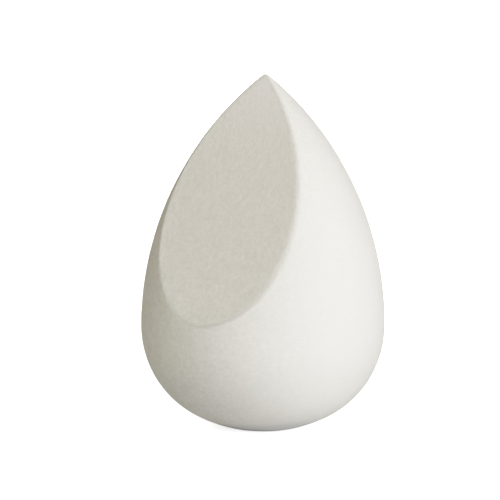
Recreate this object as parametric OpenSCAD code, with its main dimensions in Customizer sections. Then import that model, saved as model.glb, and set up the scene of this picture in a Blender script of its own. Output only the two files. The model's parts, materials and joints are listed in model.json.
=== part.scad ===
/* [Teardrop] */
// Height from the flat underneath to the tip
sponge_h = 60; // [50:1:72]
// Diameter at the widest place
belly_d = 41.2; // [34.4:0.2:49.6]
// Radius of the curve under the sponge
bottom_r = 25; // [21:0.5:30]
// Radius of the curve round the side of the belly
side_r = 17; // [14:0.5:20.5]
// Radius of the soft tip
tip_r = 0.8; // [0.4:0.1:1.6]
// Depth by which the bottom is flattened, so that the sponge stands
flat_depth = 0.5; // [0.3:0.1:1.2]

/* [Slanted face] */
// Lean of the flat face back from upright, in degrees
face_lean = 26.8; // [20:0.2:34]
// Distance that the face passes in front of the middle of the soft tip
face_ahead = 0.6; // [0.1:0.1:0.7]

/* [Hidden] */

// Steps along each arc of the outline, and facets of a preview round the axis
bottom_steps = 10;
side_steps = 20;
shoulder_steps = 40;
tip_steps = 8;
around_sides = 128;

// The outline is four arcs, each tangent to the next. The bottom's arc and the tip's have their
// centres on the axis, and the side's arc meets the shoulder's at the widest place.
belly_r = belly_d / 2;
bottom_to_side = bottom_r - side_r;
side_inset = belly_r - side_r;
bottom_h = bottom_r - flat_depth;
belly_h = bottom_h - sqrt(bottom_to_side * bottom_to_side - side_inset * side_inset);
tip_h = sponge_h - tip_r;
shoulder_rise = tip_h - belly_h;
shoulder_r = (belly_r * belly_r + shoulder_rise * shoulder_rise - tip_r * tip_r) / (2 * (belly_r - tip_r));
shoulder_inset = belly_r - shoulder_r;

// Turn of the outline's outward side from straight down, where arcs meet
side_turn = asin(side_inset / bottom_to_side);
tip_turn = 90 + atan2(shoulder_rise, -shoulder_inset);

// Longer than the sponge in every direction, for the blocks that the two cuts take away
reach = 2 * (sponge_h + belly_d);

// Points on an arc between two turns, without the last one
function arc(centre, radius, from, to, steps) = [
    for (i = [0:steps - 1])
        let (turn = from + (to - from) * i / steps)
            centre + radius * [sin(turn), -cos(turn)]
];

// Half of the outline, from the lowest point on the axis, round the belly and up to the tip
module half_outline() {
    polygon(concat(
        arc([0, bottom_h], bottom_r, 0, side_turn, bottom_steps),
        arc([side_inset, belly_h], side_r, side_turn, 90, side_steps),
        arc([shoulder_inset, belly_h], shoulder_r, 90, tip_turn, shoulder_steps),
        arc([0, tip_h], tip_r, tip_turn, 180, tip_steps),
        [[0, sponge_h]]
    ));
}

// Everything under the flat that the sponge stands on
module under_flat() {
    translate([-reach / 2, -reach / 2, -reach]) cube(reach);
}

// Everything in front of the slanted face
module in_front_of_face() {
    translate([0, 0, tip_h]) rotate([90 - face_lean, 0, 0])
        translate([-reach / 2, -reach / 2, face_ahead]) cube(reach);
}

// The one block of foam: a teardrop with a small flat underneath and one side cut flat
module foam_body() {
    color("ivory")
        difference() {
            rotate_extrude($fn = around_sides) half_outline();
            under_flat();
            in_front_of_face();
        }
}

foam_body();
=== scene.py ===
import json
import math
import bpy
from mathutils import Matrix, Vector


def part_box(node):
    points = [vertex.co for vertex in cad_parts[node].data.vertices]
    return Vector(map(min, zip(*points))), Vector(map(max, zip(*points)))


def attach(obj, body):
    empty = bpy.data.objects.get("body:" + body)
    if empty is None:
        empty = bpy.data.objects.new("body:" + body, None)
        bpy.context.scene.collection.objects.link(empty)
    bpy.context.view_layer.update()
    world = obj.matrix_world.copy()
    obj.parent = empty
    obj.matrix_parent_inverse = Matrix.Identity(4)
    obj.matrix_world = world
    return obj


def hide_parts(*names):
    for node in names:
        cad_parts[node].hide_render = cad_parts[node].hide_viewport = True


# A makeup sponge: one block of soft foam, shaped as a teardrop with one flat slanted face
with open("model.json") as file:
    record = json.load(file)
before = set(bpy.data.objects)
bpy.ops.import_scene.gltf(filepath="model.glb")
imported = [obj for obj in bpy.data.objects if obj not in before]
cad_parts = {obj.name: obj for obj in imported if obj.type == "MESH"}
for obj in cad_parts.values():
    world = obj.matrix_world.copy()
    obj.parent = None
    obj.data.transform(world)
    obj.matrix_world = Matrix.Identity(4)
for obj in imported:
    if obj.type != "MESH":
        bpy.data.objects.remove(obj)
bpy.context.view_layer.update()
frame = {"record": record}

# Lengths are in metres. Turns are in radians, apart from the camera's and the lamps', which are in
# degrees. The slanted face looks towards -Y, and left and right are as seen from in front of it.
METRE = 1.0
MM = METRE / 1000
FULL_TURN = math.tau
HALF_TURN = math.pi
QUARTER_TURN = math.pi / 2
UP = Vector((0.0, 0.0, 1.0))
FACE_SIDE = Vector((0.0, -1.0, 0.0))

# Shape of the foam. The height, the belly and the slanted face come from the frame, and the radii
# are those of the frame's outline.
foam_low, foam_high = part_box("foam_body")
slanted_face = next(m for m in frame["record"]["mounts"] if m["name"] == "slanted_face")
SHAPE = {
    # The outline, and the small flat that the sponge stands on
    "Height": foam_high.z - foam_low.z,
    "Belly Diameter": foam_high.x - foam_low.x,
    "Bottom Radius": 25 * MM,
    "Side Radius": 17 * MM,
    "Tip Radius": 0.8 * MM,
    "Flat Depth": 0.5 * MM,
    "Flat Softness": 0.2 * MM,
    # The slanted face: sunk a little, bent back on its left above the low end, and askew at that end
    "Face Point": slanted_face["pos_m"],
    "Face Normal": slanted_face["axis"],
    "Face Sink": 0.08 * MM,
    "Left Bend": 0.1 * MM,
    "Face Skew": 0.18 * MM,
    "Skew Width": 6 * MM,
    "Skew Rise": 4 * MM,
    # The rim of the face: hardest at the low end, and higher up softer on the right than on the left
    "Rim Softness": 0.24 * MM,
    "Low Hardening": 0.11 * MM,
    "Right Softening": 0.27 * MM,
    "Left Hardening": 0.08 * MM,
    # How far aside, and up from the low end, the bend and the rim's softness go on changing
    "Blend Width": 10 * MM,
    "Blend Rise": 10 * MM,
}

# Relief of the foam: slow waves, its grain, and the crease that the knife left along the low rim.
# The crease lies an inset inside the rim, and fades over its reach to both sides of its middle.
SURFACE = {
    "Wave Height": 0.05 * MM,
    "Wave Length": 9 * MM,
    "Grain Height": 0.045 * MM,
    "Grain Length": 0.8 * MM,
    "Crease Depth": 0.06 * MM,
    "Crease Width": 0.3 * MM,
    "Crease Inset": 0.08 * MM,
    "Crease Middle": 0.6 * MM,
    "Crease Reach": 12.5 * MM,
    "Seed": 7.0,
}

# Edge loops of the foam, the steps in which its rim is first drawn, and how much closer the rings
# lie beside the rim
LOOPS = {"Rim Points": 432, "Face Rings": 60, "Body Rings": 169}
RIM_STEPS = 720
RIM_CROWDING = 0.6

# Colours and finish of the foam. The colour of the cut face takes over just inside the rim, in full
# where the foam that was cut off was FACE_BLEND thick.
BODY_COLOUR = Vector((0.84, 0.832, 0.80))
FACE_COLOUR = Vector((0.853, 0.832, 0.788))
FACE_BLEND = 1 * MM
FOAM_ROUGHNESS = 0.92
FOAM_SHINE = 0.05

# Cells of the foam, clumps of cells and larger mottles. A pore reaches a share of a cell from its
# middle, and a shade is a share of the colour. The pores' shade is painted shade in the open cells.
# On the body the clumps' shade is that at the axis, which fades to nothing on the right, and grows a
# little on the left: painted shade, for the stronger grain that light grazing the relief gives the
# left side. On the face it is that at the floor, which fades upwards. The mottles have a share of it,
# and the pore depths are the bump's.
CELL_SIZE = 0.24 * MM
PORE_REACH = 0.5
PAINTED_PORE_SHADE = 0.05
CLUMP_SIZE = 0.55 * MM
CLUMP_SEED = 1.0
MOTTLE_SIZE = 1.6 * MM
MOTTLE_SEED = 2.0
MOTTLE_SHARE = 0.5
BODY_CLUMP_SHADE = 0.10
BODY_PAINTED_SHADE_FADE = 18 * MM
BODY_PAINTED_SHADE_MOST = 1.3
FACE_CLUMP_SHADE = 0.16
FACE_CLUMP_FADE = 75 * MM
BODY_PORE_DEPTH = 0.006 * MM
FACE_PORE_DEPTH = 0.019 * MM

# Painted light makes the face paler and less yellow towards the tip, and painted shade makes the
# crease darker than what is round it
PAINTED_TIP_LIGHT = Vector((0.10, 0.10, 0.15))
PAINTED_LIGHT_START = 41 * MM
PAINTED_LIGHT_RISE = 18 * MM
PAINTED_CREASE_SHADE = 0.13

# Camera, set by the outline of the photographed sponge. The long distance keeps its upright lines
# nearly parallel, and the aim lies beside the middle of the axis because the sponge isn't centred.
# The sensor's width is in millimetres.
VIEW_AZIMUTH = 28.6
VIEW_ELEVATION = 7.8
VIEW_ROLL = -0.68
VIEW_DISTANCE = 600 * MM
VIEW_WIDTH = 84.42 * MM
NEAREST_SHARE = 0.1
AIM_RIGHT = -2.31 * MM
AIM_UP = 0.20 * MM
SENSOR_WIDTH = 36

# Studio: an even low light all round, lamps at one distance, and a floor whose glow towards the
# camera grows from the sponge outwards, so that it reads as white and still shows a shadow
WHITE = (1, 1, 1, 1)
ROOM_LIGHT = 0.08
LAMP_DISTANCE = 1 * METRE
FLOOR_REACH = 3 * METRE
FLOOR_COLOUR = (0.845, 0.84, 0.83, 1)
FLOOR_ROUGHNESS = 1.0
GLOW_AT_SPONGE = 0.8
GLOW_FAR = 1.0
GLOW_REACH = 250 * MM


class Term:
    """An output socket of a node tree, to write formulas with. Each operation adds its node. Beside
    a plain vector, the term comes first."""

    def __init__(self, socket):
        self.socket = socket

    def __add__(self, other):
        return worked("ADD", self, other)

    def __radd__(self, other):
        return worked("ADD", other, self)

    def __sub__(self, other):
        return worked("SUBTRACT", self, other)

    def __rsub__(self, other):
        return worked("SUBTRACT", other, self)

    def __mul__(self, other):
        if is_vector(self) != is_vector(other):
            return scaled(self, other) if is_vector(self) else scaled(other, self)
        return worked("MULTIPLY", self, other)

    def __rmul__(self, other):
        return self * other

    def __truediv__(self, other):
        return self * (1 / other) if is_vector(self) else worked("DIVIDE", self, other)

    def __rtruediv__(self, other):
        return worked("DIVIDE", other, self)

    def __neg__(self):
        return self * -1


def is_vector(value):
    if isinstance(value, Term):
        return value.socket.type == "VECTOR"
    return isinstance(value, Vector)


def tree_of(*values):
    """The node tree that the terms among the values belong to."""
    return next(value for value in values if isinstance(value, Term)).socket.id_data


def feed(socket, value):
    """Links a term to an input socket, or sets the socket to a plain value."""
    if isinstance(value, Term):
        socket.id_data.links.new(value.socket, socket)
    else:
        socket.default_value = value


def added(tree, kind, inputs=None, **settings):
    """A new node of that kind, with its settings made and its named inputs fed."""
    node = tree.nodes.new(kind)
    for name, value in settings.items():
        setattr(node, name, value)
    for name, value in (inputs or {}).items():
        feed(node.inputs[name], value)
    return node


def made(tree, kind, inputs=None, output=0, **settings):
    """An output of such a new node, by its name or number."""
    return Term(added(tree, kind, inputs, **settings).outputs[output])


def worked(operation, *values):
    """The result of a maths node, which is a vector one where any value is a vector."""
    vector = any(is_vector(value) for value in values)
    kind = "ShaderNodeVectorMath" if vector else "ShaderNodeMath"
    node = added(tree_of(*values), kind, operation=operation)
    for socket, value in zip(node.inputs, values):
        feed(socket, value)
    gives_number = not vector or operation in ("DOT_PRODUCT", "LENGTH")
    return Term(node.outputs["Value" if gives_number else "Vector"])


def scaled(vector, number):
    inputs = {"Vector": vector, "Scale": number}
    return made(tree_of(vector, number), "ShaderNodeVectorMath", inputs, "Vector", operation="SCALE")


def sine(turn):
    return worked("SINE", turn) if isinstance(turn, Term) else math.sin(turn)


def cosine(turn):
    return worked("COSINE", turn) if isinstance(turn, Term) else math.cos(turn)


def root(value):
    """The square root, which is 0 below 0."""
    return worked("SQRT", worked("MAXIMUM", value, 0))


def clamped(value, low, high):
    return worked("MINIMUM", worked("MAXIMUM", value, low), high)


def eased(share):
    """A share from 0 to 1 that leaves 0 and reaches 1 gently."""
    return share * share * (3 - 2 * share)


def dot(a, b):
    return worked("DOT_PRODUCT", a, b)


def unit(vector):
    return worked("NORMALIZE", vector)


def vector_of(x, y, z):
    return made(tree_of(x, y, z), "ShaderNodeCombineXYZ", {"X": x, "Y": y, "Z": z})


def parts_of(vector):
    """The x, y and z of a vector term."""
    node = added(tree_of(vector), "ShaderNodeSeparateXYZ", {"Vector": vector})
    return [Term(socket) for socket in node.outputs]


def flattened(vector):
    """The vector without its height."""
    return vector * Vector((1.0, 1.0, 0.0))


def noise(tree, place, size, seed, detail=2.0, roughness=0.5):
    """Noise of about that size, from -1 to 1 round 0."""
    inputs = {"Vector": place, "W": seed, "Scale": 1 / size, "Detail": detail, "Roughness": roughness}
    return made(tree, "ShaderNodeTexNoise", inputs, "Fac", noise_dimensions="4D") * 2 - 1


def moved(tree, geometry, **place):
    """The geometry with its points set to a Position or moved by an Offset."""
    return made(tree, "GeometryNodeSetPosition", {"Geometry": geometry, **place})


def marked(tree, geometry, name, value):
    """The geometry with a number kept on each of its points under that name."""
    inputs = {"Geometry": geometry, "Name": name, "Value": value}
    kind = "GeometryNodeStoreNamedAttribute"
    return made(tree, kind, inputs, data_type="FLOAT", domain="POINT")


class Outline:
    """Half of the teardrop's outline as four arcs, each tangent to the next, from the axis below
    to the tip."""

    def __init__(self, size):
        belly_r = size["Belly Diameter"] / 2
        tip_r = size["Tip Radius"]
        bottom_to_side = size["Bottom Radius"] - size["Side Radius"]
        side_inset = belly_r - size["Side Radius"]
        side_turn = worked("ARCSINE", side_inset / bottom_to_side)
        bottom_h = size["Bottom Radius"] - size["Flat Depth"]
        self.belly_h = bottom_h - root(bottom_to_side * bottom_to_side - side_inset * side_inset)
        self.tip_h = size["Height"] - tip_r
        rise = self.tip_h - self.belly_h
        self.shoulder_r = (belly_r * belly_r + rise * rise - tip_r * tip_r) / (2 * (belly_r - tip_r))
        self.shoulder_inset = belly_r - self.shoulder_r
        tip_turn = worked("ARCTAN2", rise, -self.shoulder_inset) + QUARTER_TURN
        self.lowest = -size["Flat Depth"]
        self.arcs = [
            (size["Bottom Radius"], 0.0, side_turn),
            (size["Side Radius"], side_turn, QUARTER_TURN),
            (self.shoulder_r, QUARTER_TURN, tip_turn),
            (tip_r, tip_turn, HALF_TURN),
        ]
        self.length = sum(radius * (end - start) for radius, start, end in self.arcs)

    def point(self, along):
        """Radius and height of the outline's point at a distance along it. Each arc adds what it
        spans up to there."""
        radius, height, begun = 0.0, self.lowest, 0.0
        for arc_r, start, end in self.arcs:
            turn = clamped(start + (along - begun) / arc_r, start, end)
            radius = radius + arc_r * (sine(turn) - sine(start))
            height = height + arc_r * (cosine(start) - cosine(turn))
            begun = begun + arc_r * (end - start)
        return radius, height

    def along(self, height):
        """Distance along the outline at which it reaches a height."""
        along, floor = 0.0, self.lowest
        for arc_r, start, end in self.arcs:
            drop = clamped(cosine(start) - (height - floor) / arc_r, cosine(end), cosine(start))
            along = along + arc_r * (worked("ARCCOSINE", drop) - start)
            floor = floor + arc_r * (cosine(start) - cosine(end))
        return along


def soft_step_over(distance, softness):
    """How far to pull back what stands over a plane. What is more than one softness below the plane
    stays, and what is more than two above it comes back to it. Between them the pull is a cubic,
    which joins both without a kink and grows gentler towards the plane."""
    share = clamped((distance + softness) / (3 * softness), 0, 1)
    return softness * share * share * (3 - share) + worked("MAXIMUM", distance - 2 * softness, 0)


def rim_curve(tree, size, outline):
    """The closed curve where the slanted face meets the teardrop, as points spaced evenly along it,
    with the heights of the face's middle and of its low end."""
    normal = unit(size["Face Normal"])
    tip = outline.tip_h * UP
    ahead = dot(normal, size["Face Point"] - tip)
    top = tip + normal * ahead
    down = unit(normal * parts_of(normal)[2] - UP)

    # The face's middle line leaves the tip's arc above and the shoulder's arc below
    shoulder_centre = outline.shoulder_inset * FACE_SIDE + outline.belly_h * UP
    from_centre = top - shoulder_centre
    inward = dot(from_centre, down)
    off_line = dot(from_centre, from_centre) - inward * inward
    low_end = root(outline.shoulder_r * outline.shoulder_r - off_line) - inward
    high_end = -root(size["Tip Radius"] * size["Tip Radius"] - ahead * ahead)

    # Each step of a circle goes to a place down the middle line, and from there out to the rim
    circle = made(tree, "GeometryNodeCurvePrimitiveCircle", {"Resolution": RIM_STEPS}, "Curve")
    step = made(tree, "GeometryNodeSplineParameter", output="Index")
    turn = step * (-FULL_TURN / RIM_STEPS)
    way = (high_end + low_end) / 2 - (low_end - high_end) / 2 * cosine(turn)
    ahead_y, height = parts_of(top + down * way)[1:]
    radius, height = outline.point(outline.along(height))
    half_width = root(radius * radius - ahead_y * ahead_y)
    side = worked("SIGN", sine(turn))
    drawn = moved(tree, circle, Position=vector_of(side * half_width, ahead_y, height))
    inputs = {"Curve": drawn, "Count": size["Rim Points"]}
    even = made(tree, "GeometryNodeResampleCurve", inputs, mode="COUNT")
    middle_z = parts_of(top + down * (high_end + low_end) / 2)[2]
    low_z = parts_of(top + down * low_end)[2]
    return even, middle_z, low_z


def spread(outline, radial, height):
    """The direction that stands for a point of the teardrop on an evenly spread sphere. radial is
    the unit vector from the axis."""
    turn = outline.along(height) * HALF_TURN / outline.length
    return sine(turn) * radial - cosine(turn) * UP


def ball_round_rim(tree, size, outline, rim, middle_z):
    """A sphere whose poles stand for the middle of the face and the far side of the belly, and the
    directions of its points when its edge loops follow the rim."""
    segments = size["Rim Points"]
    inputs = {"Segments": segments, "Rings": size["Face Rings"] + size["Body Rings"]}
    ball = made(tree, "GeometryNodeMeshUVSphere", inputs, "Mesh")

    # After the first pole, its points come ring by ring, with one point of each ring in a sector
    number = made(tree, "GeometryNodeInputIndex") - 1
    ring = worked("FLOOR", number / segments) + 1
    sector = number - (ring - 1) * segments
    inputs = {"Geometry": rim, "Value": made(tree, "GeometryNodeInputPosition"), "Index": sector}
    kind = "GeometryNodeSampleIndex"
    at_rim = made(tree, kind, inputs, data_type="FLOAT_VECTOR", domain="POINT")
    rim_way = spread(outline, unit(flattened(at_rim)), parts_of(at_rim)[2])
    face_way = spread(outline, FACE_SIDE, middle_z)

    # Each sector runs from the middle of the face through its rim point to the far side, with the
    # rings crowded towards the rim from both sides
    rim_turn = worked("ARCCOSINE", dot(rim_way, face_way))
    side_way = unit(rim_way - face_way * dot(rim_way, face_way))
    face_share = clamped(ring / size["Face Rings"], 0, 1)
    body_share = worked("MAXIMUM", ring - size["Face Rings"], 0) / size["Body Rings"]
    face_share = face_share + RIM_CROWDING * face_share * (1 - face_share)
    body_share = body_share - RIM_CROWDING * body_share * (1 - body_share)
    turn = rim_turn * face_share + (HALF_TURN - rim_turn) * body_share
    way = face_way * cosine(turn) + side_way * sine(turn)
    return ball, way


def on_teardrop(outline, way):
    """The point of the teardrop that a direction on the even sphere stands for, and its height."""
    level = flattened(way)
    turn = worked("ARCTAN2", worked("LENGTH", level), -parts_of(way)[2])
    radius, height = outline.point(turn * outline.length / HALF_TURN)
    return unit(level) * radius + height * UP, height


def slanted_cut(size, full, height, low_z):
    """The teardrop's points drawn back to the slanted face round its soft rim, and how far over the
    face each one stood."""
    normal = unit(size["Face Normal"])
    side = parts_of(full)[0]
    rise = height - low_z
    rightness = clamped(side / size["Blend Width"], 0, 1)
    leftness = clamped(-side / size["Blend Width"], 0, 1)
    highness = clamped(rise / size["Blend Rise"], 0, 1)

    skew = size["Face Skew"] * sine(clamped(side / size["Skew Width"], -1, 1) * QUARTER_TURN)
    skew = skew * clamped(1 - rise / size["Skew Rise"], 0, 1)
    bend = size["Left Bend"] * leftness * leftness * highness * highness
    over_face = dot(full - size["Face Point"], normal) + size["Face Sink"] - skew + bend

    softening = size["Right Softening"] * rightness - size["Left Hardening"] * leftness
    hardening = size["Low Hardening"] * (1 - highness)
    softness = size["Rim Softness"] + softening * highness * highness - hardening
    return full - normal * soft_step_over(over_face, softness), over_face


def surface_relief(tree, size, middle_z):
    """How far each point of the cut teardrop moves outwards, and how deep in the crease it lies, as
    a share."""
    place = made(tree, "GeometryNodeInputPosition")
    side, _, height = parts_of(place)
    waves = size["Wave Height"] * noise(tree, place, size["Wave Length"], size["Seed"])
    grain = noise(tree, place, size["Grain Length"], size["Seed"] + 1, detail=1.0)
    clear_of_floor = clamped(height / size["Wave Length"], 0, 1)
    bumps = (waves + grain * size["Grain Height"]) * clear_of_floor

    kind = "GeometryNodeInputNamedAttribute"
    over_face = made(tree, kind, {"Name": "over_face"}, "Attribute", data_type="FLOAT")
    off_crease = worked("ABSOLUTE", over_face - size["Crease Inset"])
    nearness = clamped(1 - off_crease / size["Crease Width"], 0, 1)
    aside = worked("ABSOLUTE", side - size["Crease Middle"])
    fade = eased(clamped(1 - aside / size["Crease Reach"], 0, 1))
    # The same share sets the groove's depth and later darkens the colour as painted shade in the
    # crease
    crease_and_painted_shade = nearness * nearness * fade * worked("LESS_THAN", height, middle_z)
    return bumps - size["Crease Depth"] * crease_and_painted_shade, crease_and_painted_shade


def sponge_tree():
    """The tree that makes the foam: a teardrop whose edge loops follow the rim, with a soft slanted
    cut, a flat underneath and its surface relief."""
    tree = bpy.data.node_groups.new("sponge_foam", "GeometryNodeTree")
    tree.interface.new_socket("Geometry", in_out="OUTPUT", socket_type="NodeSocketGeometry")
    for name, value in {**SHAPE, **SURFACE}.items():
        kind = "NodeSocketFloat" if isinstance(value, float) else "NodeSocketVector"
        tree.interface.new_socket(name, in_out="INPUT", socket_type=kind)
    for name in LOOPS:
        tree.interface.new_socket(name, in_out="INPUT", socket_type="NodeSocketInt")
    tree.interface.new_socket("Foam", in_out="INPUT", socket_type="NodeSocketMaterial")
    given = added(tree, "NodeGroupInput")
    size = {socket.name: Term(socket) for socket in given.outputs if socket.name}

    outline = Outline(size)
    rim, middle_z, low_z = rim_curve(tree, size, outline)
    foam, way = ball_round_rim(tree, size, outline, rim, middle_z)
    full, height = on_teardrop(outline, way)
    cut, over_face = slanted_cut(size, full, height, low_z)
    lift = soft_step_over(-parts_of(cut)[2], size["Flat Softness"])
    foam = moved(tree, foam, Position=cut + lift * UP)
    foam = marked(tree, foam, "over_face", over_face)

    relief, crease_and_painted_shade = surface_relief(tree, size, middle_z)
    outward = made(tree, "GeometryNodeInputNormal")
    foam = moved(tree, foam, Offset=outward * relief)
    foam = marked(tree, foam, "crease_and_painted_shade", crease_and_painted_shade)
    foam = made(tree, "GeometryNodeSetShadeSmooth", {"Geometry": foam})
    foam = made(tree, "GeometryNodeRealizeInstances", {"Geometry": foam})
    foam = made(tree, "GeometryNodeSetMaterial", {"Geometry": foam, "Material": size["Foam"]})
    added(tree, "NodeGroupOutput", {"Geometry": foam})
    return tree


def in_scene(name, data):
    """A new object of the scene that shows this data."""
    thing = bpy.data.objects.new(name, data)
    bpy.context.scene.collection.objects.link(thing)
    return thing


def emptied_tree(owner):
    """The node tree of a material or a world, with nothing in it."""
    owner.use_nodes = True
    owner.node_tree.nodes.clear()
    return owner.node_tree


def give_surface(tree, finish):
    """Ends a material's tree in a Principled shader with these inputs."""
    surface = made(tree, "ShaderNodeBsdfPrincipled", finish, "BSDF")
    added(tree, "ShaderNodeOutputMaterial", {"Surface": surface})


def foam_material():
    """Matt off-white foam with fine open cells, small clumps of them and larger mottles. It has
    painted shade in the open cells, down in the crease and in the stronger clumps on the body's left.
    The cut face is coarser and warmer, and painted light makes it paler towards its tip."""
    material = bpy.data.materials.new("foam")
    tree = emptied_tree(material)
    place = made(tree, "ShaderNodeTexCoord", output="Object")
    side, _, height = parts_of(place)
    crease_and_painted_shade = made(tree, "ShaderNodeAttribute", output="Fac", attribute_name="crease_and_painted_shade")
    over_face = made(tree, "ShaderNodeAttribute", output="Fac", attribute_name="over_face")
    on_face = clamped(over_face / FACE_BLEND, 0, 1)

    # Cells, clumps and mottles
    clumps = noise(tree, place, CLUMP_SIZE, CLUMP_SEED)
    mottles = noise(tree, place, MOTTLE_SIZE, MOTTLE_SEED)
    cells = {"Vector": place, "Scale": 1 / CELL_SIZE}
    # Painted shade at the middle of each open cell, beside the pores' bump
    pore = clamped(1 - made(tree, "ShaderNodeTexVoronoi", cells, "Distance") / PORE_REACH, 0, 1)
    # Painted shade: on the body the grain grows stronger to the left, where light grazes the relief
    body_grain_and_painted_shade = BODY_CLUMP_SHADE * clamped(1 - side / BODY_PAINTED_SHADE_FADE, 0, BODY_PAINTED_SHADE_MOST)
    face_shade = FACE_CLUMP_SHADE * (1 - height / FACE_CLUMP_FADE)
    clump_grain_and_painted_shade = body_grain_and_painted_shade + (face_shade - body_grain_and_painted_shade) * on_face
    mottled_with_painted_shade = (clumps + mottles * MOTTLE_SHARE) * clump_grain_and_painted_shade
    # Random tone of the clumps and mottles, with painted shade in the pores, the crease and the body's
    # left
    tone_and_painted_shade = 1 + mottled_with_painted_shade - pore * PAINTED_PORE_SHADE - crease_and_painted_shade * PAINTED_CREASE_SHADE

    # Colour, and pores as a bump whose height is in metres
    # Painted light: the face grows paler and less yellow towards its tip
    tip_light_share = clamped((height - PAINTED_LIGHT_START) / PAINTED_LIGHT_RISE, 0, 1)
    painted_tip_light = on_face * tip_light_share * tip_light_share * PAINTED_TIP_LIGHT
    colour = (on_face * (FACE_COLOUR - BODY_COLOUR) + BODY_COLOUR) * (tone_and_painted_shade + painted_tip_light)
    pore_depth = BODY_PORE_DEPTH + (FACE_PORE_DEPTH - BODY_PORE_DEPTH) * on_face
    relief = {"Distance": METRE, "Height": (clumps - pore) * pore_depth}
    finish = {
        "Base Color": colour,
        "Roughness": FOAM_ROUGHNESS,
        "Specular IOR Level": FOAM_SHINE,
        "Normal": made(tree, "ShaderNodeBump", relief, "Normal"),
    }
    give_surface(tree, finish)
    return material


def make_sponge(material):
    """The foam block as a plain mesh, made once by the tree."""
    host = in_scene("tree_host", bpy.data.meshes.new("tree_host"))
    tree = sponge_tree()
    modifier = host.modifiers.new("sponge_foam", "NODES")
    modifier.node_group = tree
    values = {**SHAPE, **SURFACE, **LOOPS, "Foam": material}
    for socket in tree.interface.items_tree:
        if socket.in_out == "INPUT":
            modifier[socket.identifier] = values[socket.name]
    evaluated = host.evaluated_get(bpy.context.evaluated_depsgraph_get())
    mesh = bpy.data.meshes.new_from_object(evaluated)
    mesh.name = "sponge_foam"

    # The first material slot is an empty one
    mesh.materials.pop(index=0)
    bpy.data.objects.remove(host)
    return in_scene("sponge_foam", mesh)


def direction(azimuth, elevation):
    """The way from the sponge to a place at these degrees, counted to the right of the face and up
    from level."""
    azimuth, elevation = math.radians(azimuth), math.radians(elevation)
    level = math.cos(elevation)
    return Vector((math.sin(azimuth) * level, -math.cos(azimuth) * level, math.sin(elevation)))


def make_camera():
    """The photograph's view: a long lens from the right of the face and a little above."""
    axis_middle = Vector((0, 0, (foam_low.z + foam_high.z) / 2))
    back = direction(VIEW_AZIMUTH, VIEW_ELEVATION)
    right = UP.cross(back).normalized()
    up = Matrix.Rotation(-math.radians(VIEW_ROLL), 3, back) @ back.cross(right)
    right = up.cross(back)
    place = axis_middle + back * VIEW_DISTANCE
    aim = axis_middle + right * AIM_RIGHT + up * AIM_UP
    back = (place - aim).normalized()
    right = up.cross(back).normalized()
    data = bpy.data.cameras.new("camera")
    data.sensor_width = SENSOR_WIDTH
    data.lens = SENSOR_WIDTH * VIEW_DISTANCE / VIEW_WIDTH
    data.clip_start = VIEW_DISTANCE * NEAREST_SHARE
    camera = in_scene("camera", data)
    turned = Matrix((right, back.cross(right), back)).transposed().to_4x4()
    camera.matrix_world = Matrix.Translation(place) @ turned
    bpy.context.scene.camera = camera


def make_lamp(name, azimuth, elevation, width, height, watts, colour):
    """A soft lamp that looks at the middle of the sponge. Its width and height are in metres."""
    back = direction(azimuth, elevation)
    data = bpy.data.lights.new(name, "AREA")
    data.shape = "RECTANGLE"
    data.size = width
    data.size_y = height
    data.energy = watts
    data.color = colour
    lamp = in_scene(name, data)
    lamp.location = Vector((0, 0, foam_high.z / 2)) + back * LAMP_DISTANCE
    lamp.rotation_euler = back.to_track_quat("Z", "Y").to_euler()


def share_seen(tree):
    """1 for what the camera, or a mirror or glass on the way to it, looks at, and 0 for light on
    the sponge."""
    path = added(tree, "ShaderNodeLightPath").outputs
    names = ("Is Camera Ray", "Is Glossy Ray", "Is Transmission Ray")
    direct, mirrored, through_glass = (Term(path[name]) for name in names)
    return clamped(direct + mirrored + through_glass, 0, 1)


def make_world():
    """White to look at, and a low even light for the sponge."""
    world = bpy.data.worlds.new("studio")
    bpy.context.scene.world = world
    tree = emptied_tree(world)
    strength = ROOM_LIGHT + share_seen(tree) * (1 - ROOM_LIGHT)
    background = made(tree, "ShaderNodeBackground", {"Color": WHITE, "Strength": strength})
    added(tree, "ShaderNodeOutputWorld", {"Surface": background})


def make_floor():
    """A pale floor that reads as white and still takes the sponge's shadow. Its glow isn't sampled
    as a lamp, because no light on the sponge comes from it."""
    material = bpy.data.materials.new("floor")
    material.cycles.emission_sampling = "NONE"
    tree = emptied_tree(material)
    place = made(tree, "ShaderNodeTexCoord", output="Object")
    away = clamped(worked("LENGTH", place) / GLOW_REACH, 0, 1)
    glow = GLOW_AT_SPONGE + (GLOW_FAR - GLOW_AT_SPONGE) * away
    finish = {
        "Base Color": FLOOR_COLOUR,
        "Roughness": FLOOR_ROUGHNESS,
        "Emission Color": WHITE,
        "Emission Strength": share_seen(tree) * glow,
    }
    give_surface(tree, finish)

    mesh = bpy.data.meshes.new("floor")
    corners = [(-FLOOR_REACH, -FLOOR_REACH, 0), (FLOOR_REACH, -FLOOR_REACH, 0)]
    corners += [(FLOOR_REACH, FLOOR_REACH, 0), (-FLOOR_REACH, FLOOR_REACH, 0)]
    mesh.from_pydata(corners, [], [range(len(corners))])
    mesh.materials.append(material)
    in_scene("floor", mesh)


bpy.context.scene.view_settings.view_transform = "Standard"
make_camera()
make_world()
make_floor()
make_lamp("key", azimuth=66, elevation=17, width=1.3, height=0.55, watts=9.42, colour=(0.932, 0.95, 1))
make_lamp("fill", azimuth=-30, elevation=45, width=0.9, height=0.5, watts=2.31, colour=(1, 0.92, 0.63))
make_lamp("side", azimuth=150, elevation=50, width=0.6, height=0.6, watts=2.05, colour=(1, 0.9, 0.72))
make_lamp("rear", azimuth=206, elevation=8, width=0.3, height=0.3, watts=3, colour=(1, 1, 1))

sponge = make_sponge(foam_material())
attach(sponge, "root")
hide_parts("foam_body")
